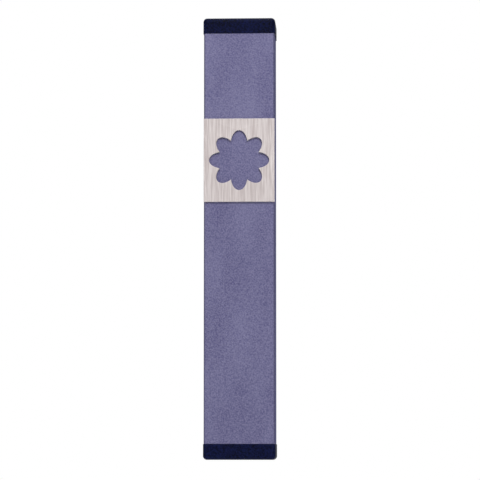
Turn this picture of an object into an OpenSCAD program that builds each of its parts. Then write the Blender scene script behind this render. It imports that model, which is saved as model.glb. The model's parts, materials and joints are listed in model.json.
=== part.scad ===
// Mezuzah case: an anodised channel with a cut-out plaque, closed by two push-in end
// caps. It slides down over a wall plate that is screwed or taped to a doorpost, and
// it holds a rolled parchment in a clear sleeve.
//
// Millimetres. X runs across the case, Y from its front (-Y) to the wall (Y = 0), and
// Z up. The origin is on the wall, at the middle of the case.

/* [Scroll] */
// Height of the parchment sheet, which is the length of its roll
parchment_h = 100; // [70:1:150]
// Width of the parchment sheet before it is rolled up
parchment_w = 100; // [60:1:130]
// Thickness of the parchment
parchment_t = 0.3; // [0.2:0.01:0.4]
// Radius of the hollow at the middle of the roll
roll_core_r = 2.6; // [2:0.1:3.5]
// Air between one turn of the roll and the next
roll_air = 0.15; // [0.1:0.01:0.3]
// Thickness of the clear sleeve
sleeve_t = 0.2; // [0.15:0.01:0.4]
// How far the sleeve runs past each end of the roll
sleeve_overhang = 0.4; // [0.2:0.1:2]

/* [Case] */
// Width of the case
case_w = 20; // [17:0.1:30]
// Thickness of its front and side walls
wall_t = 1.4; // [1:0.1:2]
// How far each back lip reaches in from its side wall
lip_w = 2.4; // [1.5:0.1:3.5]
// Thickness of the back lips
lip_t = 1.1; // [0.8:0.1:2]
// Side of the square ribs that keep the wall plate against the lips
guide_rib = 0.8; // [0.5:0.1:1.2]
// Radius of the long outer edges
case_edge_r = 0.5; // [0.2:0.05:1]

/* [Wall plate] */
// Thickness of the wide part, which runs in the grooves of the case
plate_flange_t = 1.4; // [1.2:0.1:3]
// How far the lips of the case stand off behind the back of the plate
lip_standback = 0.2; // [0.1:0.05:0.5]
// Diameter of the two screw holes
screw_hole_d = 4; // [3:0.1:5]
// Diameter of their countersinks at the front of the plate
screw_head_d = 7.6; // [6:0.1:8]
// From each end of the channel to the nearest screw hole
screw_inset = 14; // [8:1:25]
// Bevel at the corners of the plate's top end, which leads it into the case
plate_lead = 1; // [0.5:0.1:2]

/* [Mounting tape] */
// Thickness of the foam tape on the back of the plate
tape_t = 0.8; // [0.5:0.1:1.5]
// Bare plate left beside each edge of the tape
tape_margin = 0.6; // [0.3:0.1:2]
// From the middle of a screw hole to the end of the tape
tape_clear = 7; // [5:0.5:12]

/* [Plaque] */
// Height of the plaque, which is as wide as the case
plaque_h = 23.6; // [18:0.1:30]
// Thickness of the plaque
plaque_t = 0.8; // [0.5:0.1:1.5]
// Thickness of the adhesive film behind it
film_t = 0.15; // [0.1:0.05:0.3]
// From the top of the channel down to the plaque
plaque_drop = 24.5; // [10:0.1:40]
// Number of petals of the rosette that is cut through the plaque
petals = 8; // [5:1:12]
// Metal left between the tips of its petals and the nearest edge of the plaque
rosette_rim = 1.5; // [0.5:0.1:4]
// How far the notches between the petals reach in, as a share of the rosette's radius
notch_depth = 0.3; // [0.1:0.05:0.5]

/* [Caps] */
// Thickness of the part of a cap that shows
cap_t = 4.4; // [3:0.1:6]
// How far the showing part stands out past the case
cap_proud = 0.2; // [0.1:0.05:0.5]
// Radius of its outer rim
cap_rim_r = 1.1; // [0.8:0.1:2]
// Radius of its corners, seen from the end
cap_corner_r = 1.1; // [0.6:0.1:2]
// How deep the plug goes into the channel
plug_h = 7.3; // [6:0.1:12]
// Thickness of the plug's walls
plug_t = 1.2; // [0.8:0.1:2]
// Number of holding fins round the plug
fins = 3; // [2:1:3]
// Height of a fin where it leaves the plug
fin_root = 1.4; // [0.8:0.1:1.6]
// Height of its outer edge, above the slope that leads it in
fin_land = 0.4; // [0.2:0.1:0.6]
// How far a fin stands out from the plug
fin_reach = 0.9; // [0.5:0.1:1.2]

/* [Fits] */
// Gap all round the plate's wide part in its grooves
slide_gap = 0.1; // [0.05:0.01:0.2]
// Gap between the fins and the channel
plug_gap = 0.05; // [0.03:0.01:0.1]
// Air between the sleeve and the walls that it leans near
scroll_play = 0.4; // [0.2:0.05:1]
// Air between the ends of the sleeve and the plugs
end_play = 0.4; // [0.2:0.05:1]
// Air between the roll and its sleeve
sleeve_air = 0.1; // [0.05:0.01:0.3]

/* [Hidden] */

// Segments in a quarter of a turn on a rounded outline
arc_steps = 6;
// Segments in one turn of the rolled parchment
roll_steps = 40;
// Segments round one petal of the rosette, an even number so that a notch ends on a point
petal_steps = 24;
// Sides of the drawn cylinders
$fn = 96;
// How far a cut runs past the face that it opens
over = 1;
// How far one solid is sunk into the next one of the same piece
sink = 0.5;

// The roll: an even spiral whose middle line is as long as the sheet is wide
roll_pitch = parchment_t + roll_air;
roll_first_r = roll_core_r + parchment_t / 2;
roll_turns = (sqrt(pow(2 * PI * roll_first_r, 2) + 4 * PI * roll_pitch * parchment_w)
    - 2 * PI * roll_first_r) / (2 * PI * roll_pitch);
roll_r = roll_first_r + roll_pitch * roll_turns + parchment_t / 2;
sleeve_in_r = roll_r + sleeve_air;
sleeve_r = sleeve_in_r + sleeve_t;
sleeve_h = parchment_h + 2 * sleeve_overhang;

// Depths, worked out from the wall towards the front
plate_back = -tape_t;
case_back = plate_back - lip_standback;
lip_front = case_back - lip_t;
groove_back = lip_front - slide_gap;
plate_front = groove_back - plate_flange_t;
rib_back = plate_front - slide_gap;
rib_front = rib_back - guide_rib;
scroll_y = plate_front - scroll_play - sleeve_r;
cavity_front = scroll_y - sleeve_r - scroll_play;
case_front = cavity_front - wall_t;

// Widths, as distances from the middle
case_x = case_w / 2;
cavity_x = case_x - wall_t;
lip_x = cavity_x - lip_w;
plate_flange_x = cavity_x - slide_gap;
plate_stem_x = lip_x - slide_gap;
scroll_x = -(cavity_x - scroll_play - sleeve_r);

// Heights
channel_h = sleeve_h + 2 * end_play + 2 * plug_h;
channel_top = channel_h / 2;
plate_top = channel_top - slide_gap;
plate_bottom = -channel_top - cap_t + slide_gap;
screw_z = channel_top - screw_inset;
tape_h = 2 * (screw_z - tape_clear);
plaque_bottom = channel_top - plaque_drop - plaque_h;
rosette_r = min(case_w, plaque_h) / 2 - rosette_rim;
film_front = case_front - film_t;

// The plug, inside its fins
plug_x = cavity_x - plug_gap - fin_reach;
plug_front = cavity_front + plug_gap + fin_reach;
plug_back = rib_front - plug_gap - fin_reach;
fin_pitch = plug_h / fins;

// The outline of a rosette: an even ring of petals with a sharp notch between each two
function rosette(radius) = [
    for (i = [0 : petals * petal_steps - 1])
        let (
            angle = 360 * i / (petals * petal_steps),
            reach = 1 - notch_depth * (1 - abs(cos(petals * angle / 2)))
        )
            radius * reach * [sin(angle), cos(angle)]
];

// The corners of a rectangle from low to high, each rounded to its own radius, in the
// order lower left, lower right, upper right, upper left
function rounded(low, high, radii) = let (
    corners = [low, [high[0], low[1]], high, [low[0], high[1]]],
    inwards = [[1, 1], [-1, 1], [-1, -1], [1, -1]]
) [
    for (k = [0 : 3], i = [0 : radii[k] > 0 ? arc_steps : 0])
        let (angle = 180 + 90 * k + 90 * i / arc_steps, r = radii[k])
            corners[k] + [inwards[k][0] * r, inwards[k][1] * r]
                + r * [cos(angle), sin(angle)]
];

// One face of the rolled sheet, offset from its middle line. It runs from the inner
// edge of the sheet to the outer one, or back.
function roll_face(offset, back = false) = let (
    steps = round(roll_turns * roll_steps)
) [
    for (i = [0 : steps])
        let (
            turn = (back ? steps - i : i) * roll_turns / steps,
            r = roll_first_r + roll_pitch * turn + offset
        )
            r * [cos(360 * turn), sin(360 * turn)]
];

// Section of the case, seen from above: a channel with a groove between lips and ribs
module channel_section() {
    difference() {
        polygon(rounded([-case_x, case_front], [case_x, case_back],
            [for (k = [0 : 3]) case_edge_r]));
        translate([-cavity_x, cavity_front])
            square([2 * cavity_x, lip_front - cavity_front]);
        translate([-lip_x, lip_front - over])
            square([2 * lip_x, case_back - lip_front + 2 * over]);
    }
    for (side = [-1, 1])
        translate([side * (cavity_x + (sink - guide_rib) / 2), (rib_front + rib_back) / 2])
            square([guide_rib + sink, guide_rib], center = true);
}

// Section of the wall plate, or of the space that it needs with a gap round it
module plate_section(gap = 0) {
    translate([-plate_flange_x - gap, plate_front - gap])
        square([2 * (plate_flange_x + gap), plate_flange_t + 2 * gap]);
    translate([-plate_stem_x - gap, plate_front])
        square([2 * (plate_stem_x + gap), plate_back - plate_front]);
}

module case_channel() {
    color("#6f6d92")
        translate([0, 0, -channel_top])
            linear_extrude(channel_h) channel_section();
}

// The plaque's outline with the rosette cut out, upright on the front of the case
module plaque_shape(back, thickness) {
    translate([-case_x, back, plaque_bottom])
        rotate([90, 0, 0])
            linear_extrude(thickness)
                difference() {
                    square([case_w, plaque_h]);
                    translate([case_w / 2, plaque_h / 2])
                        polygon(rosette(rosette_r));
                }
}

module front_plaque() {
    color("#d3c9c8") plaque_shape(film_front, plaque_t);
}

module plaque_adhesive() {
    color("#e8e6dc") plaque_shape(case_front, film_t);
}

// The part of a cap that shows: a block with a round rim at its outer end
module cap_head() {
    low = [-case_x - cap_proud, case_front - cap_proud];
    high = [case_x + cap_proud, case_back];
    rim = [0, 0, cap_rim_r, cap_rim_r];
    intersection() {
        linear_extrude(cap_t)
            polygon(rounded(low, high, [for (k = [0 : 3]) cap_corner_r]));
        translate([0, high[1] + over, 0])
            rotate([90, 0, 0])
                linear_extrude(high[1] - low[1] + 2 * over)
                    polygon(rounded([low[0], 0], [high[0], cap_t], rim));
        translate([low[0] - over, 0, 0])
            rotate([90, 0, 90])
                linear_extrude(high[0] - low[0] + 2 * over)
                    polygon(rounded([low[1], 0], [high[1], cap_t], rim));
    }
}

function reverse(list) = [for (i = [len(list) - 1 : -1 : 0]) list[i]];

// The edge of fin number i, from its top to its bottom, on the side of the plug that
// faces along direction
function fin_edge(side, direction, i) = let (top = fin_root / 2 - fin_pitch * (i + 0.5)) [
    [side, top],
    [side + direction * fin_reach, top],
    [side + direction * fin_reach, top - fin_land],
    [side, top - fin_root]
];

// The outline of the plug between two of its sides, with fins that slope in towards
// its end
function plug_profile(low, high) = concat(
    [[low, sink]],
    [for (i = [0 : fins - 1]) each fin_edge(low, -1, i)],
    [[low, -plug_h], [high, -plug_h]],
    [for (i = [fins - 1 : -1 : 0]) each reverse(fin_edge(high, 1, i))],
    [[high, sink]]
);

// The plug with fins round it, hanging down from Z = 0. Two pockets make it hollow, and
// leave a web between them.
module cap_plug() {
    pocket_x = plug_x - plug_t - plug_t / 2;
    difference() {
        intersection() {
            translate([0, plug_back + fin_reach + over, 0])
                rotate([90, 0, 0])
                    linear_extrude(plug_back - plug_front + 2 * (fin_reach + over))
                        polygon(plug_profile(-plug_x, plug_x));
            translate([-plug_x - fin_reach - over, 0, 0])
                rotate([90, 0, 90])
                    linear_extrude(2 * (plug_x + fin_reach + over))
                        polygon(plug_profile(plug_front, plug_back));
        }
        for (side = [-1, 1])
            translate([side * (plug_t + pocket_x) / 2 - pocket_x / 2,
                plug_front + plug_t, -plug_h - over])
                cube([pocket_x, plug_back - plug_front - 2 * plug_t, plug_h + over]);
    }
}

module top_cap() {
    color("#15172f")
        translate([0, 0, channel_top]) {
            cap_head();
            cap_plug();
        }
}

// The bottom cap is the top cap turned over, with a notch that lets the wall plate by
module bottom_cap() {
    color("#15172f")
        translate([0, 0, -channel_top])
            difference() {
                mirror([0, 0, 1]) {
                    cap_head();
                    cap_plug();
                }
                translate([0, 0, -cap_t - over])
                    linear_extrude(cap_t + over) plate_section(slide_gap);
            }
}

// A countersunk screw hole through the plate, open to the front, with Z = 0 there
module screw_hole() {
    plate_t = plate_back - plate_front;
    hole_r = screw_hole_d / 2;
    head_r = screw_head_d / 2;
    rotate_extrude()
        polygon([
            [0, -over], [head_r, -over], [head_r, 0],
            [hole_r, head_r - hole_r], [hole_r, plate_t + over], [0, plate_t + over]
        ]);
}

module wall_plate() {
    lead_x = plate_flange_x - plate_lead;
    color("#b9bbbf")
        difference() {
            intersection() {
                translate([0, 0, plate_bottom])
                    linear_extrude(plate_top - plate_bottom) plate_section();
                rotate([90, 0, 0])
                    linear_extrude(over - plate_front)
                        polygon([
                            [-plate_flange_x - over, plate_bottom - over],
                            [plate_flange_x + over, plate_bottom - over],
                            [plate_flange_x + over, plate_top - plate_lead - over],
                            [lead_x, plate_top],
                            [-lead_x, plate_top],
                            [-plate_flange_x - over, plate_top - plate_lead - over]
                        ]);
            }
            for (side = [-1, 1])
                translate([0, plate_front, side * screw_z])
                    rotate([-90, 0, 0]) screw_hole();
        }
}

module mounting_tape() {
    tape_x = plate_stem_x - tape_margin;
    color("#f2f2ee")
        translate([-tape_x, plate_back, -tape_h / 2])
            cube([2 * tape_x, tape_t, tape_h]);
}

module parchment_scroll() {
    color("#e6d6b4")
        translate([scroll_x, scroll_y, -parchment_h / 2])
            linear_extrude(parchment_h)
                polygon(concat(
                    roll_face(parchment_t / 2),
                    roll_face(-parchment_t / 2, back = true)
                ));
}

module scroll_sleeve() {
    color([0.92, 0.95, 0.97, 0.4])
        translate([scroll_x, scroll_y, -sleeve_h / 2])
            difference() {
                cylinder(h = sleeve_h, r = sleeve_r);
                translate([0, 0, -over])
                    cylinder(h = sleeve_h + 2 * over, r = sleeve_in_r);
            }
}

case_channel();
front_plaque();
plaque_adhesive();
top_cap();
bottom_cap();
wall_plate();
mounting_tape();
parchment_scroll();
scroll_sleeve();
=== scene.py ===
"""The finished look of a mezuzah case, piece by piece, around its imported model.

The case is an anodised channel with a cut-out plaque on its front and a push-in cap in each
end. It hangs on a wall plate and holds a rolled parchment in a clear sleeve. Each sub-assembly
is a class that builds its meshes in metres, in the model's own frame, and dresses them.
"""

import json
import logging
import math
from collections.abc import Callable, Iterable, Sequence
from dataclasses import dataclass
from enum import Enum

import bmesh
import bpy
from mathutils import Matrix, Vector

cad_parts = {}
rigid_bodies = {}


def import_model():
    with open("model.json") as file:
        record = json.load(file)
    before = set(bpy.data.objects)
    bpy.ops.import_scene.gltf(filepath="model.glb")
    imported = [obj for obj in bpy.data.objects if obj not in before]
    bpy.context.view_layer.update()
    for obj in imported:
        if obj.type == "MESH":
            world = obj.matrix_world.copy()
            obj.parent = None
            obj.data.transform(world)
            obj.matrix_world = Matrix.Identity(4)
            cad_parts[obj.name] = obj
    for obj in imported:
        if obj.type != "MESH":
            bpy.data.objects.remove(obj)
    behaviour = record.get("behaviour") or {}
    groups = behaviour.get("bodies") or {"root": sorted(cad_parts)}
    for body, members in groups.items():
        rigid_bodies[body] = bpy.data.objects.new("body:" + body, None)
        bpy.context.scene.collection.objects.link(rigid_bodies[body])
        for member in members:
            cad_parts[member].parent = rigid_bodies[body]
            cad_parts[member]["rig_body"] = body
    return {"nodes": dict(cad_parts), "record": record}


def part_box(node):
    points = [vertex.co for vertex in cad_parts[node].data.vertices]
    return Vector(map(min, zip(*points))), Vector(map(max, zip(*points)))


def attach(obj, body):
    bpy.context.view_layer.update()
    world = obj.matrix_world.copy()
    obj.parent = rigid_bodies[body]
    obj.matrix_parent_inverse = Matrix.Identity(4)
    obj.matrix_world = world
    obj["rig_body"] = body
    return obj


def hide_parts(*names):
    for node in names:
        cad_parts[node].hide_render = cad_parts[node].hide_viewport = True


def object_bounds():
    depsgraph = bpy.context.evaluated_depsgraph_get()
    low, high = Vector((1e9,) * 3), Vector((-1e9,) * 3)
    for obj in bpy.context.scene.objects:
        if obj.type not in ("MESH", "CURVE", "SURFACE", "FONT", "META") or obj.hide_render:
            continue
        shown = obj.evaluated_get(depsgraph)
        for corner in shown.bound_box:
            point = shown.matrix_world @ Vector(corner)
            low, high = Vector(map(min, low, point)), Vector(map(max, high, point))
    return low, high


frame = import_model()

LOG = logging.getLogger("mezuzah_case")
CAD_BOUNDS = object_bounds()
SCREW_HOLES = next(
    mount["dims"] for mount in frame["record"]["mounts"] if mount["name"] == "screw_holes"
)
# Points nearer than MERGE_MM are made one, and places nearer than NEAR metres count as the same.
MERGE_MM = 0.0005
NEAR = 1e-5
# The turn in degrees from which an edge stays sharp, and from which it counts as square.
SHARP_FROM = 35.0
SQUARE_FROM = 80.0
# How far wide faces lead in smooth shading, from 1 to 100, where 50 favours none.
FACE_WEIGHT = 95
# The Mix node's sockets for colours, by number, as those for other kinds have the same names.
MIX_SHARE, MIX_FIRST, MIX_SECOND, MIX_RESULT = 0, 6, 7, 2

Colour = tuple[float, float, float, float]


# ---------------------------------------------------------------- measures and small helpers


def mm(value: float) -> float:
    """Millimetres in metres."""
    return value * 0.001


def linear(colour: str) -> Colour:
    """Turns an sRGB colour into the linear one that a shader takes.

    Args:
        colour: The colour as "#rrggbb".

    Returns:
        Red, green, blue and an alpha of 1.
    """
    shares = [int(colour[i : i + 2], 16) / 255 for i in (1, 3, 5)]
    red, green, blue = (
        share / 12.92 if share <= 0.04045 else ((share + 0.055) / 1.055) ** 2.4 for share in shares
    )
    return red, green, blue, 1.0


@dataclass(frozen=True)
class Box:
    """The lowest and highest corner of a node, in metres."""

    low: Vector
    high: Vector

    @classmethod
    def of(cls, node: str) -> "Box":
        """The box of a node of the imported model."""
        return cls(*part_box(node))

    @property
    def size(self) -> Vector:
        """Its width, depth and height."""
        return self.high - self.low

    @property
    def middle(self) -> Vector:
        """Its centre."""
        return (self.low + self.high) / 2


def is_upright(edge: bmesh.types.BMEdge) -> bool:
    """True if an edge runs along Z."""
    a, b = (vert.co for vert in edge.verts)
    return (a - b).xy.length < NEAR


def is_level(item: bmesh.types.BMEdge | bmesh.types.BMFace, height: float) -> bool:
    """True if every corner of an edge or a face is at this height."""
    return all(abs(vert.co.z - height) < NEAR for vert in item.verts)


def crease(edge: bmesh.types.BMEdge) -> float:
    """The angle in degrees by which a surface turns at an edge, or 0 where it is open."""
    return math.degrees(edge.calc_face_angle(0.0))


def round_edges(
    bm: bmesh.types.BMesh, edges: Iterable[bmesh.types.BMEdge], radius: float, segments: int
) -> None:
    """Rounds edges over, or chamfers them where there is one segment.

    Args:
        bm: The mesh that they are in.
        edges: The edges to round.
        radius: How far the rounding reaches on each side, in metres.
        segments: The number of faces across the rounding.
    """
    bmesh.ops.bevel(
        bm,
        geom=list(edges),
        offset=radius,
        segments=segments,
        profile=0.5,
        affect="EDGES",
        clamp_overlap=True,
        material=-1,
    )


def block(bm: bmesh.types.BMesh, low: Vector, high: Vector) -> None:
    """Adds a block between two corners."""
    verts = bmesh.ops.create_cube(bm, size=1.0)["verts"]
    bmesh.ops.scale(bm, vec=high - low, verts=verts)
    bmesh.ops.translate(bm, vec=(low + high) / 2, verts=verts)


def merge_doubles(bm: bmesh.types.BMesh) -> None:
    """Makes one vertex of those that lie in the same place."""
    bmesh.ops.remove_doubles(bm, verts=bm.verts, dist=mm(MERGE_MM))


def thicken(bm: bmesh.types.BMesh, way: tuple[float, float, float]) -> None:
    """Draws every face of a flat mesh along a way, so that it becomes a solid."""
    grown = bmesh.ops.extrude_face_region(bm, geom=bm.faces[:])
    raised = [item for item in grown["geom"] if isinstance(item, bmesh.types.BMVert)]
    bmesh.ops.translate(bm, vec=way, verts=raised)


def mirrored_section(
    half: Sequence[tuple[float, float]], bottom: float, top: float
) -> bmesh.types.BMesh:
    """Draws a section from its right half and runs it up into a solid.

    Args:
        half: The corners of the half, as x and y. The first and last are on the middle line.
        bottom: The height at which the solid starts.
        top: The height at which it ends.

    Returns:
        The closed solid.
    """
    bm = bmesh.new()
    bm.faces.new([bm.verts.new((x, y, bottom)) for x, y in half])
    bmesh.ops.mirror(bm, geom=bm.verts[:] + bm.edges[:] + bm.faces[:], axis="X", merge_dist=NEAR)
    merge_doubles(bm)
    seam = [edge for edge in bm.edges if all(abs(vert.co.x) < NEAR for vert in edge.verts)]
    bmesh.ops.dissolve_edges(bm, edges=seam, use_verts=True)
    thicken(bm, (0, 0, top - bottom))
    bmesh.ops.recalc_face_normals(bm, faces=bm.faces)
    return bm


def make_piece(
    bm: bmesh.types.BMesh, name: str, sharp_from: float = SHARP_FROM
) -> bpy.types.Object:
    """Turns a bmesh into an object at the origin, smooth except at its sharp edges.

    Args:
        bm: The mesh, which is freed.
        name: The name of the piece.
        sharp_from: The angle in degrees from which an edge stays sharp.

    Returns:
        The object, linked to the scene.
    """
    merge_doubles(bm)
    bmesh.ops.recalc_face_normals(bm, faces=bm.faces)
    mesh = bpy.data.meshes.new(name)
    bm.to_mesh(mesh)
    bm.free()
    mesh.shade_smooth()
    mesh.set_sharp_from_angle(angle=math.radians(sharp_from))
    piece = bpy.data.objects.new(name, mesh)
    bpy.context.scene.collection.objects.link(piece)
    return piece


def keep_flats_flat(piece: bpy.types.Object) -> None:
    """Shades the wide faces flat and leaves the turn of the light to the roundings."""
    modifier = piece.modifiers.new("even shading", "WEIGHTED_NORMAL")
    modifier.keep_sharp = True
    modifier.weight = FACE_WEIGHT


class Joining(Enum):
    """What happens to a solid that meets a piece."""

    ADD = "UNION"
    TAKE_AWAY = "DIFFERENCE"


def combine(piece: bpy.types.Object, other_mesh: bmesh.types.BMesh, joining: Joining) -> None:
    """Adds a solid to a piece, or takes it away, for good.

    Args:
        piece: The piece, which keeps the result.
        other_mesh: The solid, which is freed.
        joining: Whether it is added or taken away.
    """
    other = make_piece(other_mesh, "other_solid")
    modifier = piece.modifiers.new("joining", "BOOLEAN")
    modifier.operation = joining.value
    modifier.solver = "EXACT"
    modifier.object = other
    depsgraph = bpy.context.evaluated_depsgraph_get()
    result = bpy.data.meshes.new_from_object(piece.evaluated_get(depsgraph))
    piece.modifiers.remove(modifier)
    piece.data = result
    bpy.data.objects.remove(other)


def reshape(piece: bpy.types.Object, change: Callable[[bmesh.types.BMesh], None]) -> None:
    """Works once more on the mesh of a piece.

    Args:
        piece: The piece.
        change: What to do to its mesh.
    """
    bm = bmesh.new()
    bm.from_mesh(piece.data)
    merge_doubles(bm)
    change(bm)
    bmesh.ops.recalc_face_normals(bm, faces=bm.faces)
    bm.to_mesh(piece.data)
    bm.free()
    piece.data.shade_smooth()
    piece.data.set_sharp_from_angle(angle=math.radians(SHARP_FROM))


def settle(piece: bpy.types.Object, node: str, material: bpy.types.Material) -> None:
    """Gives a piece its finish, and puts it in the place of its node.

    Args:
        piece: The finished piece.
        node: The node that it stands for, whose body and slot it takes.
        material: Its finish.
    """
    piece.data.materials.clear()
    piece.data.materials.append(material)
    body = frame["nodes"][node]["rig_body"]
    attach(piece, body)
    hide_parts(node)
    LOG.info("%s stands for %s on %s, %d faces", piece.name, node, body, len(piece.data.polygons))


# ---------------------------------------------------------------- finishes


def add_node(
    tree: bpy.types.NodeTree,
    kind: str,
    settings: dict[str, object] | None = None,
    values: dict[str | int, object] | None = None,
    links: dict[str | int, bpy.types.NodeSocket] | None = None,
) -> bpy.types.Node:
    """Adds a node with its settings and links.

    Args:
        tree: The node tree.
        kind: The type of the node.
        settings: Its properties by name.
        values: Values of its inputs, by name or number.
        links: Sockets that feed its inputs, by name or number.

    Returns:
        The node.
    """
    node = tree.nodes.new(kind)
    for name, value in (settings or {}).items():
        setattr(node, name, value)
    for key, value in (values or {}).items():
        node.inputs[key].default_value = value
    for key, socket in (links or {}).items():
        tree.links.new(socket, node.inputs[key])
    return node


@dataclass(frozen=True)
class Grain:
    """A pattern of soft spots, by the size of a spot along X, Y and Z in millimetres."""

    size: tuple[float, float, float]
    detail: float = 3.0
    contrast: tuple[float, float] = (0.3, 0.7)

    def lay(self, tree: bpy.types.NodeTree, place: bpy.types.NodeSocket) -> bpy.types.NodeSocket:
        """Draws the pattern.

        Args:
            tree: The node tree.
            place: The coordinates that it is drawn on, in metres.

        Returns:
            A value from 0 to 1.
        """
        spacing = tuple(1 / mm(size) for size in self.size)
        scaled = add_node(tree, "ShaderNodeMapping", values={"Scale": spacing}, links={"Vector": place})
        noise = add_node(
            tree,
            "ShaderNodeTexNoise",
            values={"Scale": 1.0, "Detail": self.detail},
            links={"Vector": scaled.outputs["Vector"]},
        )
        spread = add_node(
            tree,
            "ShaderNodeMapRange",
            values={"From Min": self.contrast[0], "From Max": self.contrast[1]},
            links={"Value": noise.outputs["Fac"]},
        )
        return spread.outputs["Result"]


@dataclass(frozen=True)
class Finish:
    """A material: two near colours in a coarse and a fine grain, with roughness and relief.

    Pointiness is 0.5 on a flat face and more at an outer edge, where a lighter colour goes: partly
    rubbing and partly a painted highlight. It starts at `wear_and_highlight_from` and is whole at
    `wear_and_highlight_fully`. `cloud` is the share of the coarse grain in the colour.
    """

    name: str
    dark: str
    light: str
    coarse: Grain
    fine: Grain
    roughness: tuple[float, float]
    relief_mm: float
    metallic: float = 0.0
    specular: float = 0.5
    anisotropic: float = 0.0
    edge_wear_and_highlight: str = ""
    wear_and_highlight_share: float = 0.0
    wear_and_highlight_from: float = 0.51
    wear_and_highlight_fully: float = 0.6
    cloud: float = 0.45
    edge_tint: str = "#ffffff"
    alpha: float = 1.0
    subsurface: float = 0.0

    def make(self) -> bpy.types.Material:
        """Builds the material and returns it."""
        material = bpy.data.materials.new(self.name)
        material.use_nodes = True
        tree = material.node_tree
        tree.nodes.clear()
        place = add_node(tree, "ShaderNodeTexCoord").outputs["Object"]
        broad = self.coarse.lay(tree, place)
        close = self.fine.lay(tree, place)
        share = add_node(tree, "ShaderNodeMath", {"operation": "MULTIPLY"}, {1: self.cloud}, {0: broad})
        both = add_node(
            tree,
            "ShaderNodeMath",
            {"operation": "MULTIPLY_ADD"},
            {1: 1 - self.cloud},
            {0: close, 2: share.outputs[0]},
        )
        colour = self.blend(tree, both.outputs[0], linear(self.dark), linear(self.light))
        # Lighter outer edges: partly rubbing, partly a painted highlight.
        if self.edge_wear_and_highlight:
            colour = self.paint_wear_and_highlight(tree, broad, colour)
        rough = add_node(
            tree,
            "ShaderNodeMapRange",
            values={"To Min": self.roughness[0], "To Max": self.roughness[1]},
            links={"Value": both.outputs[0]},
        )
        bump = add_node(
            tree,
            "ShaderNodeBump",
            values={"Strength": 1.0, "Distance": mm(self.relief_mm)},
            links={"Height": close},
        )
        shader = add_node(
            tree,
            "ShaderNodeBsdfPrincipled",
            values={
                "Metallic": self.metallic,
                "Specular IOR Level": self.specular,
                "Specular Tint": linear(self.edge_tint),
                "Anisotropic": self.anisotropic,
                "Alpha": self.alpha,
                "Subsurface Weight": self.subsurface,
                "Subsurface Scale": mm(1.0),
            },
            links={
                "Base Color": colour,
                "Roughness": rough.outputs["Result"],
                "Normal": bump.outputs["Normal"],
            },
        )
        if self.anisotropic:
            settings = {"direction_type": "RADIAL", "axis": "Z"}
            tangent = add_node(tree, "ShaderNodeTangent", settings)
            tree.links.new(tangent.outputs["Tangent"], shader.inputs["Tangent"])
        links = {"Surface": shader.outputs["BSDF"]}
        add_node(tree, "ShaderNodeOutputMaterial", links=links)
        return material

    @staticmethod
    def blend(
        tree: bpy.types.NodeTree,
        share: bpy.types.NodeSocket,
        first: Colour | bpy.types.NodeSocket,
        second: Colour,
    ) -> bpy.types.NodeSocket:
        """Mixes two colours by a share.

        Args:
            tree: The node tree.
            share: How much of the second colour there is.
            first: A colour, or a socket that gives one.
            second: A colour.

        Returns:
            The mixed colour.
        """
        values, links = {MIX_SECOND: second}, {MIX_SHARE: share}
        given = links if isinstance(first, bpy.types.NodeSocket) else values
        given[MIX_FIRST] = first
        mix = add_node(tree, "ShaderNodeMix", {"data_type": "RGBA"}, values, links)
        return mix.outputs[MIX_RESULT]

    def paint_wear_and_highlight(
        self,
        tree: bpy.types.NodeTree,
        broad: bpy.types.NodeSocket,
        colour: bpy.types.NodeSocket,
    ) -> bpy.types.NodeSocket:
        """Lightens the outer edges to another colour, more in some places than in others: partly
        rubbing and partly a painted highlight where an edge would catch the light.

        Args:
            tree: The node tree.
            broad: The coarse grain, which says where the rubbing and the painted highlight are
                stronger.
            colour: The colour of the unworn surface.

        Returns:
            The colour with its rubbed and painted-highlight edges.
        """
        outward = add_node(tree, "ShaderNodeNewGeometry").outputs["Pointiness"]
        edge = add_node(
            tree,
            "ShaderNodeMapRange",
            values={
                "From Min": self.wear_and_highlight_from,
                "From Max": self.wear_and_highlight_fully,
                "To Max": self.wear_and_highlight_share,
            },
            links={"Value": outward},
        )
        links = {0: edge.outputs["Result"], 1: broad}
        patchy_wear_and_highlight = add_node(tree, "ShaderNodeMath", {"operation": "MULTIPLY"}, links=links)
        return self.blend(tree, patchy_wear_and_highlight.outputs[0], colour, linear(self.edge_wear_and_highlight))


# Anodised aluminium, bead-blasted before it is dyed: a dull metal with no direction, whose
# blasting shows as a fine mottle and whose dye also tints what it mirrors at a low angle. The
# beads leave dents near 0.1 mm, drawn at 0.42 mm to show.
ANODISED = Finish(
    name="anodised_aluminium_bead_blasted",
    dark="#4f4d73",
    light="#7f7c9a",
    coarse=Grain((9.0, 9.0, 22.0), detail=2.0),
    fine=Grain((0.42, 0.42, 0.42), detail=5.0, contrast=(0.3, 0.7)),
    roughness=(0.5, 0.6),
    relief_mm=0.012,
    metallic=0.8,
    cloud=0.12,
    edge_tint="#8791c6",
    specular=0.3,
    edge_wear_and_highlight="#8f8fb0",
    wear_and_highlight_share=0.4,
)
# Stainless steel, brushed upright with a belt: long fine lines that stretch the highlight
# across them. The lines of a 240 grit belt are near 0.05 mm, drawn at 0.28 mm to show.
BRUSHED = Finish(
    name="stainless_steel_brushed",
    dark="#bfb4b3",
    light="#dbd3d2",
    coarse=Grain((1.4, 1.4, 60.0), detail=2.0),
    fine=Grain((0.28, 0.28, 6.0), detail=2.0, contrast=(0.36, 0.64)),
    roughness=(0.44, 0.56),
    relief_mm=0.006,
    metallic=0.55,
    specular=0.3,
    anisotropic=0.5,
    cloud=0.12,
    # Bright outer edges: mostly a painted highlight of edges catching the light, with some rubbing.
    edge_wear_and_highlight="#ece6e4",
    wear_and_highlight_share=0.7,
)
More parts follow.
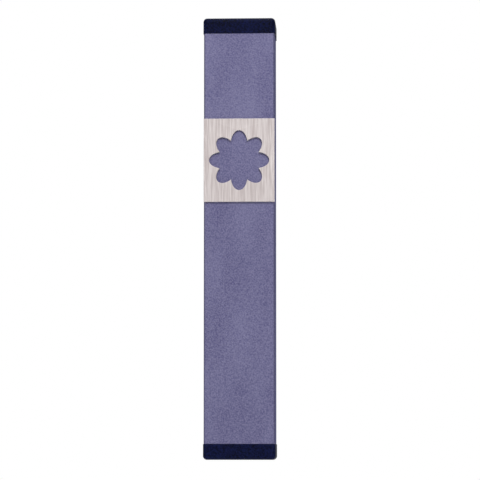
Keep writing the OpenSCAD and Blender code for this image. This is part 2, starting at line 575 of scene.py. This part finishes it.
# Acrylic transfer adhesive, rolled on in a thin milky layer with faint ripples.
ADHESIVE = Finish(
    name="acrylic_adhesive_rolled",
    dark="#d6d3c6",
    light="#e8e6dc",
    coarse=Grain((3.0, 3.0, 3.0), detail=2.0),
    fine=Grain((0.5, 0.5, 0.5)),
    roughness=(0.3, 0.5),
    relief_mm=0.01,
    subsurface=0.2,
)
# ABS, moulded in a spark-eroded tool: satin, with a fine even pebble that shows as a mottle.
# The pebble is near 0.08 mm, drawn at 0.42 mm to show.
ABS = Finish(
    name="abs_moulded_spark_grain",
    dark="#01020b",
    light="#0f163f",
    coarse=Grain((6.0, 6.0, 6.0), detail=2.0),
    fine=Grain((0.42, 0.42, 0.42), detail=4.0, contrast=(0.34, 0.66)),
    roughness=(0.38, 0.5),
    relief_mm=0.015,
    specular=0.05,
    cloud=0.2,
    # Lighter outer edges: a painted soft highlight on the rounded edges, with some rubbing.
    edge_wear_and_highlight="#151b38",
    wear_and_highlight_share=0.4,
)
# Aluminium as it leaves the press: bright, with draw lines along its length. The lines are
# near 0.1 mm apart, drawn at 0.3 mm to show.
MILL = Finish(
    name="aluminium_extruded_mill",
    dark="#a9abb0",
    light="#c4c6ca",
    coarse=Grain((2.5, 2.5, 90.0), detail=2.0),
    fine=Grain((0.3, 0.3, 30.0), detail=3.0),
    roughness=(0.28, 0.42),
    relief_mm=0.008,
    metallic=0.95,
    edge_wear_and_highlight="#dadbde",
    wear_and_highlight_share=0.5,
)
# Polyethylene foam, blown with closed cells that show as a fine pitting of about 0.35 mm.
FOAM = Finish(
    name="polyethylene_foam_closed_cell",
    dark="#eaeae6",
    light="#fbfbf9",
    coarse=Grain((5.0, 5.0, 5.0), detail=2.0),
    fine=Grain((0.35, 0.35, 0.35), detail=2.0),
    roughness=(0.75, 0.95),
    relief_mm=0.06,
    subsurface=0.15,
)
# Parchment, scraped and dried under tension: cream, clouded, with fine follicle specks that
# are near 0.1 mm and drawn at 0.4 mm to show.
PARCHMENT = Finish(
    name="parchment_scraped",
    dark="#cfb98e",
    light="#eddfc0",
    coarse=Grain((7.0, 7.0, 12.0), detail=4.0),
    fine=Grain((0.4, 0.4, 0.4), detail=4.0),
    roughness=(0.6, 0.8),
    relief_mm=0.02,
    specular=0.35,
    subsurface=0.1,
)
# Polypropylene film, cast and rolled: clear and glossy, with a slight waviness.
FILM = Finish(
    name="polypropylene_film_cast",
    dark="#e6eef4",
    light="#f6fafc",
    coarse=Grain((8.0, 8.0, 25.0), detail=1.0),
    fine=Grain((2.0, 2.0, 8.0), detail=1.0),
    roughness=(0.06, 0.14),
    relief_mm=0.01,
    alpha=0.15,
)
# Emulsion paint on a board, rolled: pale, matte and nearly even.
FLOOR = Finish(
    name="emulsion_paint_rolled",
    dark="#eeeeee",
    light="#f6f6f6",
    coarse=Grain((60.0, 60.0, 60.0), detail=2.0),
    fine=Grain((2.0, 2.0, 2.0)),
    roughness=(0.7, 0.85),
    relief_mm=0.02,
)


# ---------------------------------------------------------------- sub-assemblies


@dataclass
class CaseChannel:
    """The extruded body: front and side walls, back lips, and ribs that guide the wall plate."""

    wall: float = mm(1.4)
    lip_w: float = mm(2.4)
    lip_t: float = mm(1.1)
    rib: float = mm(0.8)
    plate_gap: float = mm(0.1)
    outer_radius: float = mm(0.5)
    inner_radius: float = mm(0.12)
    saw_chamfer: float = mm(0.08)

    def half_section(self, box: Box) -> list[tuple[float, float]]:
        """The right half of the section, from the middle of the front round to the inside."""
        outside, front, back = box.high.x, box.low.y, box.high.y
        inside = outside - self.wall
        lip_front = back - self.lip_t
        lip_end = inside - self.lip_w
        rib_back = Box.of("wall_plate").low.y - self.plate_gap
        rib_front = rib_back - self.rib
        return [
            (0, front),
            (outside, front),
            (outside, back),
            (lip_end, back),
            (lip_end, lip_front),
            (inside, lip_front),
            (inside, rib_back),
            (inside - self.rib, rib_back),
            (inside - self.rib, rib_front),
            (inside, rib_front),
            (inside, front + self.wall),
            (0, front + self.wall),
        ]

    def build(self) -> bpy.types.Object:
        """Builds the channel and returns it."""
        box = Box.of("case_channel")
        bm = mirrored_section(self.half_section(box), box.low.z, box.high.z)
        upright = [edge for edge in bm.edges if is_upright(edge)]
        outer = [edge for edge in upright if abs(abs(edge.verts[0].co.x) - box.high.x) < NEAR]
        inner = [edge for edge in upright if edge not in outer]
        round_edges(bm, outer, self.outer_radius, segments=8)
        round_edges(bm, [edge for edge in inner if edge.is_valid], self.inner_radius, segments=3)
        ends = [edge for edge in bm.edges if is_level(edge, box.low.z) or is_level(edge, box.high.z)]
        round_edges(bm, ends, self.saw_chamfer, segments=2)
        piece = make_piece(bm, "extruded_channel")
        keep_flats_flat(piece)
        return piece

    def dress(self) -> None:
        """Builds the channel and puts it in place."""
        settle(self.build(), "case_channel", ANODISED.make())


@dataclass
class Plaque:
    """The cut-out plaque and the adhesive behind it: one outline in two thicknesses."""

    petals: int = 8
    petal_steps: int = 32
    notch_depth: float = 0.3
    rim: float = mm(1.5)
    edge_radius: float = mm(0.08)
    film_edge: float = mm(0.02)
    flat_from: float = 0.999

    def reach(self, angle: float) -> float:
        """How far the rosette reaches at an angle in radians, as a share of its radius."""
        return 1 - self.notch_depth * (1 - abs(math.cos(self.petals * angle / 2)))

    def build(self, node: str, name: str, edge_radius: float) -> bpy.types.Object:
        """Cuts a sheet to the outline.

        Args:
            node: The node whose box the sheet fills.
            name: The name of the piece.
            edge_radius: How far its edges are broken, in metres.

        Returns:
            The sheet.
        """
        box = Box.of(node)
        radius = min(box.size.x, box.size.z) / 2 - self.rim
        bm = bmesh.new()
        sheet = bmesh.ops.create_grid(bm, x_segments=1, y_segments=1, size=0.5)["verts"]
        bmesh.ops.scale(bm, vec=(box.size.x, box.size.z, 1), verts=sheet)
        bmesh.ops.delete(bm, geom=bm.faces[:], context="FACES_ONLY")
        ring = bmesh.ops.create_circle(
            bm, cap_ends=False, radius=radius, segments=self.petals * self.petal_steps
        )["verts"]
        for vert in ring:
            vert.co *= self.reach(math.atan2(vert.co.x, vert.co.y))
        bmesh.ops.triangle_fill(bm, use_beauty=True, use_dissolve=False, edges=bm.edges[:])
        bmesh.ops.dissolve_limit(bm, angle_limit=NEAR, verts=[], edges=bm.edges[:])
        thicken(bm, (0, 0, box.size.y))
        upright = Matrix.Rotation(math.radians(90), 4, "X")
        bmesh.ops.transform(bm, matrix=upright, verts=bm.verts)
        start = Vector((box.middle.x, box.high.y, box.middle.z))
        bmesh.ops.translate(bm, vec=start, verts=bm.verts)
        bmesh.ops.recalc_face_normals(bm, faces=bm.faces)
        rims = [edge for edge in bm.edges if crease(edge) > SQUARE_FROM and self.is_rim(edge)]
        round_edges(bm, rims, edge_radius, segments=3)
        piece = make_piece(bm, name)
        for face in piece.data.polygons:
            face.use_smooth = abs(face.normal.y) < self.flat_from
        return piece

    def is_rim(self, edge: bmesh.types.BMEdge) -> bool:
        """True if an edge lies in the front or the back face."""
        a, b = (vert.co for vert in edge.verts)
        return abs(a.y - b.y) < NEAR

    def dress(self) -> None:
        """Builds the plaque and its adhesive and puts them in place."""
        plaque = self.build("front_plaque", "brushed_plaque", self.edge_radius)
        settle(plaque, "front_plaque", BRUSHED.make())
        film = self.build("plaque_adhesive", "adhesive_film", self.film_edge)
        settle(film, "plaque_adhesive", ADHESIVE.make())


class End(Enum):
    """The end of the case that a cap closes, by the node of that cap."""

    TOP = "top_cap"
    BOTTOM = "bottom_cap"


@dataclass
class EndCap:
    """A moulded cap: a rounded head that shows, and a hollow plug with fins that grip.

    The plug runs `head_overlap` up into the head, so that the two become one solid. An edge of
    the seat is softened where the surface turns by more than `rim_crease` degrees.
    """

    end: End
    head_t: float = mm(4.4)
    head_radius: float = mm(1.1)
    seat_radius: float = mm(0.12)
    plug_radius: float = mm(0.5)
    plug_wall: float = mm(1.2)
    plug_gap: float = mm(0.05)
    fins: int = 3
    fin_root: float = mm(1.4)
    fin_land: float = mm(0.4)
    fin_reach: float = mm(0.9)
    notch_gap: float = mm(0.1)
    head_overlap: float = mm(0.4)
    rim_crease: float = 60.0

    @property
    def node(self) -> str:
        """The node that this cap stands for."""
        return self.end.value

    def plug_box(self, seat: float, deep: float) -> Box:
        """The space of the plug inside its fins.

        Args:
            seat: The height of the seat, where head and plug meet.
            deep: How deep the plug goes.

        Returns:
            Its box, whose top is at the seat.
        """
        case = Box.of("case_channel")
        plate = Box.of("wall_plate")
        inward = self.plug_gap + self.fin_reach
        side = case.high.x - CaseChannel.wall - inward
        front = case.low.y + CaseChannel.wall + inward
        rib_front = plate.low.y - CaseChannel.plate_gap - CaseChannel.rib
        return Box(Vector((-side, front, seat - deep)), Vector((side, rib_front - inward, seat)))

    def head(self, low: Vector, high: Vector) -> bmesh.types.BMesh:
        """The head between two corners: a block with round corners and a round outer rim."""
        bm = bmesh.new()
        block(bm, low, high)
        shown = [edge for edge in bm.edges if not is_level(edge, low.z)]
        round_edges(bm, shown, self.head_radius, segments=10)
        return bm

    def plug(self, box: Box) -> bmesh.types.BMesh:
        """Draws the plug down from the seat level by level, with its fins.

        Args:
            box: The space of the plug inside its fins.

        Returns:
            The plug, with a root that runs up into the head.
        """
        bm = bmesh.new()
        root = Vector((box.high.x, box.high.y, box.high.z + self.head_overlap))
        block(bm, Vector((box.low.x, box.low.y, box.high.z)), root)
        sides = [edge for edge in bm.edges if is_upright(edge)]
        round_edges(bm, sides, self.plug_radius, segments=4)
        end = next(face for face in bm.faces if is_level(face, box.high.z))
        pitch = box.size.z / self.fins
        same = Vector((1, 1, 1))
        wide = same + Vector((2 * self.fin_reach / box.size.x, 2 * self.fin_reach / box.size.y, 0))
        back = Vector((1 / wide.x, 1 / wide.y, 1))
        for number in range(self.fins):
            top = box.high.z + self.fin_root / 2 - pitch * (number + 0.5)
            end = self.draw(bm, end, top, same, box)
            end = self.draw(bm, end, top, wide, box)
            end = self.draw(bm, end, top - self.fin_land, same, box)
            end = self.draw(bm, end, top - self.fin_root, back, box)
        end = self.draw(bm, end, box.low.z, same, box)
        self.pockets(bm, box)
        return bm

    def draw(
        self,
        bm: bmesh.types.BMesh,
        end: bmesh.types.BMFace,
        height: float,
        factor: Vector,
        box: Box,
    ) -> bmesh.types.BMFace:
        """Draws the end of the plug on to a height and widens or narrows it there.

        Args:
            bm: The mesh of the plug.
            end: The end face so far.
            height: Where it goes.
            factor: How much wider it gets along each axis.
            box: The space of the plug, whose middle line it keeps to.

        Returns:
            The new end face.
        """
        grown = bmesh.ops.extrude_discrete_faces(bm, faces=[end])["faces"][0]
        shift = Vector((0, 0, height - grown.verts[0].co.z))
        bmesh.ops.translate(bm, vec=shift, verts=grown.verts)
        middle = Matrix.Translation(-Vector((box.middle.x, box.middle.y, 0)))
        bmesh.ops.scale(bm, vec=factor, space=middle, verts=grown.verts)
        return grown

    def pockets(self, bm: bmesh.types.BMesh, box: Box) -> None:
        """Sinks two pockets into the end of the plug, with a web between them.

        Args:
            bm: The mesh of the plug.
            box: The space of the plug inside its fins.
        """
        wall, web = self.plug_wall, self.plug_wall / 2
        cuts = [
            (Vector((x, 0, 0)), Vector((1, 0, 0)))
            for x in (box.low.x + wall, -web, web, box.high.x - wall)
        ] + [
            (Vector((0, y, 0)), Vector((0, 1, 0)))
            for y in (box.low.y + wall, box.high.y - wall)
        ]
        for point, normal in cuts:
            end = [item for item in bm.faces[:] + bm.edges[:] if is_level(item, box.low.z)]
            end += [vert for vert in bm.verts if abs(vert.co.z - box.low.z) < NEAR]
            bmesh.ops.bisect_plane(bm, geom=end, dist=NEAR, plane_co=point, plane_no=normal)
        mouths = [
            face
            for face in bm.faces
            if is_level(face, box.low.z)
            and web < abs(face.calc_center_median().x) < box.high.x - wall
            and box.low.y + wall < face.calc_center_median().y < box.high.y - wall
        ]
        for mouth in mouths:
            floor = bmesh.ops.extrude_discrete_faces(bm, faces=[mouth])["faces"][0]
            bmesh.ops.translate(bm, vec=(0, 0, box.size.z), verts=floor.verts)

    def build(self) -> bpy.types.Object:
        """Builds the cap and returns it.

        Both caps are drawn as a top cap. The bottom one is then turned over and notched.
        """
        box = Box.of(self.node)
        outer = max(abs(box.low.z), abs(box.high.z))
        seat = outer - self.head_t
        low = Vector((box.low.x, box.low.y, seat))
        high = Vector((box.high.x, box.high.y, outer))
        piece = make_piece(self.head(low, high), f"moulded_{self.node}")
        plug = self.plug(self.plug_box(seat, box.size.z - self.head_t))
        combine(piece, plug, Joining.ADD)
        if self.end is End.BOTTOM:
            reshape(piece, self.turn_over)
            combine(piece, self.notch(box), Joining.TAKE_AWAY)
        reshape(piece, self.soften)
        keep_flats_flat(piece)
        return piece

    def turn_over(self, bm: bmesh.types.BMesh) -> None:
        """Turns a top cap into a bottom one."""
        bmesh.ops.scale(bm, vec=(1, 1, -1), verts=bm.verts)

    def notch(self, box: Box) -> bmesh.types.BMesh:
        """The T-shaped room that lets the wall plate through the head of the bottom cap."""
        plate = Box.of("wall_plate")
        wide = plate.high.x + self.notch_gap
        narrow = wide - CaseChannel.lip_w
        front = plate.low.y - self.notch_gap
        shoulder = box.high.y - CaseChannel.lip_t
        past_back = box.high.y + self.head_t
        half = [(0, front), (wide, front), (wide, shoulder), (narrow, shoulder)]
        half += [(narrow, past_back), (0, past_back)]
        past_end, seat = box.low.z - self.head_t, box.low.z + self.head_t
        return mirrored_section(half, past_end, seat)

    def soften(self, bm: bmesh.types.BMesh) -> None:
        """Breaks the edge round the seat, as a moulding has no knife edge."""
        case = Box.of("case_channel")
        seat = case.high.z if self.end is End.TOP else case.low.z
        box = Box.of(self.node)
        rim = [
            edge
            for edge in bm.edges
            if is_level(edge, seat)
            and crease(edge) > self.rim_crease
            and edge.calc_length() > self.seat_radius
            and all(self.on_rim(vert.co, box) for vert in edge.verts)
        ]
        round_edges(bm, rim, self.seat_radius, segments=3)

    def on_rim(self, point: Vector, box: Box) -> bool:
        """True if a point is on the straight front or sides of the head."""
        return abs(point.y - box.low.y) < NEAR or abs(abs(point.x) - box.high.x) < NEAR

    def dress(self) -> None:
        """Builds the cap and puts it in place."""
        settle(self.build(), self.node, ABS.make())


@dataclass
class WallMount:
    """The plate that stays on the doorpost, and the foam tape on its back.

    Its sawn ends are broken where the surface turns by more than `sawn_crease` degrees, which
    takes in the lead at the top. `cutter_over` is how far a hole's cutter runs past the plate.
    """

    flange_t: float = mm(1.4)
    lead: float = mm(1.0)
    hole_r: float = mm(SCREW_HOLES["hole_r_mm"])
    hole_z: float = mm(SCREW_HOLES["spacing_y_mm"]) / 2
    head_r: float = mm(3.8)
    rim_radius: float = mm(0.12)
    sawn_crease: float = 40.0
    cutter_over: float = mm(1.0)
    tape_bulge: float = mm(0.12)
    tape_steps: int = 6

    def plate(self) -> bpy.types.Object:
        """Builds the plate: a T-section with a lead at its top and two countersunk holes."""
        box = Box.of("wall_plate")
        stem = box.high.x - CaseChannel.lip_w
        flange_back = box.low.y + self.flange_t
        half = [(0, box.low.y), (box.high.x, box.low.y), (box.high.x, flange_back)]
        half += [(stem, flange_back), (stem, box.high.y), (0, box.high.y)]
        bm = mirrored_section(half, box.low.z, box.high.z)
        corners = [
            edge
            for edge in bm.edges
            if is_level(edge, box.high.z)
            and all(abs(abs(vert.co.x) - box.high.x) < NEAR for vert in edge.verts)
        ]
        round_edges(bm, corners, self.lead, segments=1)
        long_edges = [edge for edge in bm.edges if is_upright(edge) and crease(edge) > SQUARE_FROM]
        round_edges(bm, long_edges, self.rim_radius, segments=3)
        piece = make_piece(bm, "extruded_wall_plate")
        for side in (-1, 1):
            combine(piece, self.screw_hole(box, side * self.hole_z), Joining.TAKE_AWAY)
        reshape(piece, self.break_rims)
        keep_flats_flat(piece)
        return piece

    def screw_hole(self, box: Box, height: float) -> bmesh.types.BMesh:
        """The room of a countersunk screw, turned about its own axis.

        Args:
            box: The box of the plate.
            height: The height of the hole.

        Returns:
            The solid to cut away.
        """
        sunk = self.head_r - self.hole_r
        start, end = -self.cutter_over, box.size.y + self.cutter_over
        profile = [(0, start), (self.head_r, start), (self.head_r, 0)]
        profile += [(self.hole_r, sunk), (self.hole_r, end), (0, end)]
        bm = bmesh.new()
        verts = [bm.verts.new((x, y, 0)) for x, y in profile]
        edges = [bm.edges.new(pair) for pair in zip(verts, verts[1:])]
        bmesh.ops.spin(
            bm,
            geom=verts + edges,
            cent=(0, 0, 0),
            axis=(0, 1, 0),
            angle=math.tau,
            steps=64,
            use_merge=True,
        )
        bmesh.ops.translate(bm, vec=(0, box.low.y, height), verts=bm.verts)
        return bm

    def break_rims(self, bm: bmesh.types.BMesh) -> None:
        """Breaks the sawn ends of the plate."""
        box = Box.of("wall_plate")
        ends = [
            edge
            for edge in bm.edges
            if (is_level(edge, box.low.z) or is_level(edge, box.high.z))
            and crease(edge) > self.sawn_crease
        ]
        round_edges(bm, ends, self.rim_radius / 2, segments=2)

    def tape(self) -> bpy.types.Object:
        """Builds the tape, whose foam bulges a little between its two sticky faces."""
        box = Box.of("mounting_tape")
        bm = bmesh.new()
        inset = Vector((self.tape_bulge, 0, self.tape_bulge))
        block(bm, box.low + inset, box.high - inset)
        across = [e for e in bm.edges if abs(e.verts[0].co.y - e.verts[1].co.y) > NEAR]
        bmesh.ops.subdivide_edges(bm, edges=across, cuts=self.tape_steps - 1, use_grid_fill=True)
        for vert in bm.verts:
            share = (vert.co.y - box.low.y) / box.size.y
            swell = self.tape_bulge * math.sin(math.pi * share)
            vert.co.x += math.copysign(swell, vert.co.x)
            vert.co.z += math.copysign(swell, vert.co.z)
        return make_piece(bm, "foam_tape_strip")

    def dress(self) -> None:
        """Builds the plate and the tape and puts them in place."""
        settle(self.plate(), "wall_plate", MILL.make())
        tape = self.tape()
        settle(tape, "mounting_tape", FOAM.make())


@dataclass
class Scroll:
    """The rolled parchment and the clear sleeve round it.

    `wave_lag` is how far the wave of the cut edges shifts on the way out, in radians a metre.
    """

    sheet_t: float = mm(0.3)
    roll_air: float = mm(0.15)
    core_r: float = mm(2.6)
    sheet_w: float = mm(100.0)
    steps_a_turn: int = 72
    rows: int = 24
    edge_wave: float = mm(0.12)
    waves_a_turn: int = 3
    wave_lag: float = 400.0
    sharp_from: float = 60.0
    sleeve_t: float = mm(0.2)
    sleeve_steps: int = 96

    def axis(self) -> Vector:
        """The middle line of the sleeve, where it crosses Z = 0."""
        return Vector(Box.of("scroll_sleeve").middle.xy.to_3d())

    @property
    def first_r(self) -> float:
        """The radius at which the middle of the sheet starts."""
        return self.core_r + self.sheet_t / 2

    @property
    def pitch(self) -> float:
        """How far the roll grows outward in a turn."""
        return self.sheet_t + self.roll_air

    def turns(self) -> float:
        """The number of turns that the width of the sheet makes.

        After n turns the sheet has used first turn * n + pi * pitch * n squared of its width.
        """
        first_turn = math.tau * self.first_r
        growth = math.pi * self.pitch
        root = math.sqrt(first_turn**2 + 4 * growth * self.sheet_w)
        return (root - first_turn) / (2 * growth)

    def roll(self) -> bpy.types.Object:
        """Builds the roll: an upright edge drawn round and outward, then given its thickness."""
        box = Box.of("parchment_scroll")
        turns = self.turns()
        steps = round(turns * self.steps_a_turn)
        turn = Matrix.Rotation(math.tau * turns / steps, 3, "Z")
        growth = self.pitch * turns / steps
        low, high = box.low.z + self.edge_wave, box.high.z - self.edge_wave
        bm = bmesh.new()
        verts = [
            bm.verts.new((self.first_r, 0, low + (high - low) * row / self.rows))
            for row in range(self.rows + 1)
        ]
        line = [bm.edges.new(pair) for pair in zip(verts, verts[1:])]
        for step in range(1, steps + 1):
            grown = bmesh.ops.extrude_edge_only(bm, edges=line)["geom"]
            fresh = [item for item in grown if isinstance(item, bmesh.types.BMVert)]
            line = [item for item in grown if isinstance(item, bmesh.types.BMEdge)]
            bmesh.ops.rotate(bm, cent=(0, 0, 0), matrix=turn, verts=fresh)
            radius = self.first_r + growth * step
            for vert in fresh:
                vert.co.xy = vert.co.xy.normalized() * radius
        for vert in bm.verts:
            if min(vert.co.z - low, high - vert.co.z) < NEAR:
                angle = math.atan2(vert.co.y, vert.co.x)
                lag = self.wave_lag * vert.co.xy.length
                vert.co.z += self.edge_wave * math.sin(self.waves_a_turn * angle + lag)
        return self.as_sheet(bm, "rolled_parchment", self.sheet_t, offset=0.0)

    def as_sheet(
        self, bm: bmesh.types.BMesh, name: str, thickness: float, offset: float
    ) -> bpy.types.Object:
        """Makes a piece of a surface round Z, in its place and with its thickness.

        Args:
            bm: The surface, which is freed.
            name: The name of the piece.
            thickness: The thickness of the sheet, in metres.
            offset: Where the surface lies in it: 0 in its middle, -1 on its outer face.

        Returns:
            The piece.
        """
        bmesh.ops.translate(bm, vec=self.axis(), verts=bm.verts)
        piece = make_piece(bm, name, self.sharp_from)
        modifier = piece.modifiers.new("thickness", "SOLIDIFY")
        modifier.thickness = thickness
        modifier.offset = offset
        return piece

    def sleeve(self) -> bpy.types.Object:
        """Builds the sleeve: an upright line turned all the way round, given its thickness."""
        box = Box.of("scroll_sleeve")
        radius = box.size.x / 2
        bm = bmesh.new()
        verts = [
            bm.verts.new((radius, 0, box.low.z + box.size.z * row / self.rows))
            for row in range(self.rows + 1)
        ]
        edges = [bm.edges.new(pair) for pair in zip(verts, verts[1:])]
        bmesh.ops.spin(
            bm,
            geom=verts + edges,
            cent=(0, 0, 0),
            axis=(0, 0, 1),
            angle=math.tau,
            steps=self.sleeve_steps,
            use_merge=True,
        )
        return self.as_sheet(bm, "clear_film_sleeve", self.sleeve_t, offset=-1.0)

    def dress(self) -> None:
        """Builds the roll and the sleeve and puts them in place."""
        settle(self.roll(), "parchment_scroll", PARCHMENT.make())
        settle(self.sleeve(), "scroll_sleeve", FILM.make())


# ---------------------------------------------------------------- studio


@dataclass(frozen=True)
class Lamp:
    """A soft square lamp: where it stands, how large it is and how bright."""

    name: str
    place: tuple[float, float, float]
    size: float
    watts: float

    def stand(self, target: Vector) -> None:
        """Sets the lamp up so that it faces a target."""
        data = bpy.data.lights.new(self.name, "AREA")
        data.shape = "SQUARE"
        data.size = self.size
        data.energy = self.watts
        lamp = bpy.data.objects.new(self.name, data)
        bpy.context.scene.collection.objects.link(lamp)
        lamp.location = self.place
        lamp.rotation_euler = (target - lamp.location).to_track_quat("-Z", "Y").to_euler()


@dataclass(frozen=True)
class Sun:
    """A wide soft light from far off: the way to it, how strong it is and its width in degrees."""

    name: str
    direction: tuple[float, float, float]
    strength: float
    spread: float

    def rise(self) -> None:
        """Adds the light."""
        data = bpy.data.lights.new(self.name, "SUN")
        data.energy = self.strength
        data.angle = math.radians(self.spread)
        lamp = bpy.data.objects.new(self.name, data)
        bpy.context.scene.collection.objects.link(lamp)
        lamp.rotation_euler = Vector(self.direction).to_track_quat("Z", "Y").to_euler()


@dataclass(frozen=True)
class Studio:
    """A pale floor, a pale surround, soft lamps and the camera."""

    floor_z: float = -0.85
    floor_side: float = 7.0
    surround: float = 0.42
    distance: float = 0.75
    azimuth: float = 2.45
    elevation: float = -4.79
    lens: float = 197.6
    shift: tuple[float, float] = (-0.0007, -0.001)
    suns: tuple[Sun, ...] = (
        Sun("front_sun", (0.12, -1.0, 0.55), 1.3, 20.0),
        Sun("overhead_sun", (0.0, 0.0, 1.0), 1.4, 40.0),
    )
    lamps: tuple[Lamp, ...] = (
        Lamp("front_softbox", (-0.35, -1.1, 1.1), 0.9, 2.5),
        Lamp("back_softbox", (0.5, 1.1, 1.0), 0.9, 3.5),
    )

    def floor(self) -> None:
        """Lays the floor."""
        bm = bmesh.new()
        verts = bmesh.ops.create_grid(bm, x_segments=8, y_segments=8, size=self.floor_side / 2)["verts"]
        bmesh.ops.translate(bm, vec=(0, 0, self.floor_z), verts=verts)
        floor = make_piece(bm, "studio_floor")
        floor.data.materials.append(FLOOR.make())

    def world(self) -> None:
        """Makes the surround white to look at and dimmer as a light, so that forms stay soft."""
        world = bpy.data.worlds.new("studio_surround")
        world.use_nodes = True
        bpy.context.scene.world = world
        tree = world.node_tree
        tree.nodes.clear()
        seen = add_node(tree, "ShaderNodeLightPath").outputs["Is Camera Ray"]
        values = {"To Min": self.surround, "To Max": 1.0}
        strength = add_node(tree, "ShaderNodeMapRange", values=values, links={"Value": seen})
        white = add_node(
            tree,
            "ShaderNodeBackground",
            values={"Color": (1.0, 1.0, 1.0, 1.0)},
            links={"Strength": strength.outputs["Result"]},
        )
        links = {"Surface": white.outputs["Background"]}
        add_node(tree, "ShaderNodeOutputWorld", links=links)

    def camera(self, target: Vector) -> None:
        """Stands the camera in front, a little to the right and below, facing a target."""
        across, up = math.radians(self.azimuth), math.radians(self.elevation)
        level = math.cos(up)
        back = Vector((math.sin(across) * level, -math.cos(across) * level, math.sin(up)))
        data = bpy.data.cameras.new("studio_camera")
        data.sensor_width = 36.0
        data.lens = self.lens
        data.shift_x, data.shift_y = self.shift
        data.clip_start = 0.01
        camera = bpy.data.objects.new("studio_camera", data)
        bpy.context.scene.collection.objects.link(camera)
        camera.location = target + back * self.distance
        camera.rotation_euler = (-back).to_track_quat("-Z", "Y").to_euler()
        bpy.context.scene.camera = camera

    def set_up(self) -> None:
        """Sets the whole studio up round the object."""
        low, high = CAD_BOUNDS
        target = (low + high) / 2
        self.camera(target)
        self.floor()
        self.world()
        for sun in self.suns:
            sun.rise()
        for lamp in self.lamps:
            lamp.stand(target)
        bpy.context.scene.view_settings.view_transform = "Standard"


# ---------------------------------------------------------------- assembly


def main() -> None:
    """Builds the studio and every sub-assembly in order."""
    logging.basicConfig(level=logging.INFO, format="%(name)s: %(message)s")
    Studio().set_up()
    CaseChannel().dress()
    Plaque().dress()
    for end in End:
        EndCap(end).dress()
    WallMount().dress()
    Scroll().dress()


if __name__ == "__main__":
    main()
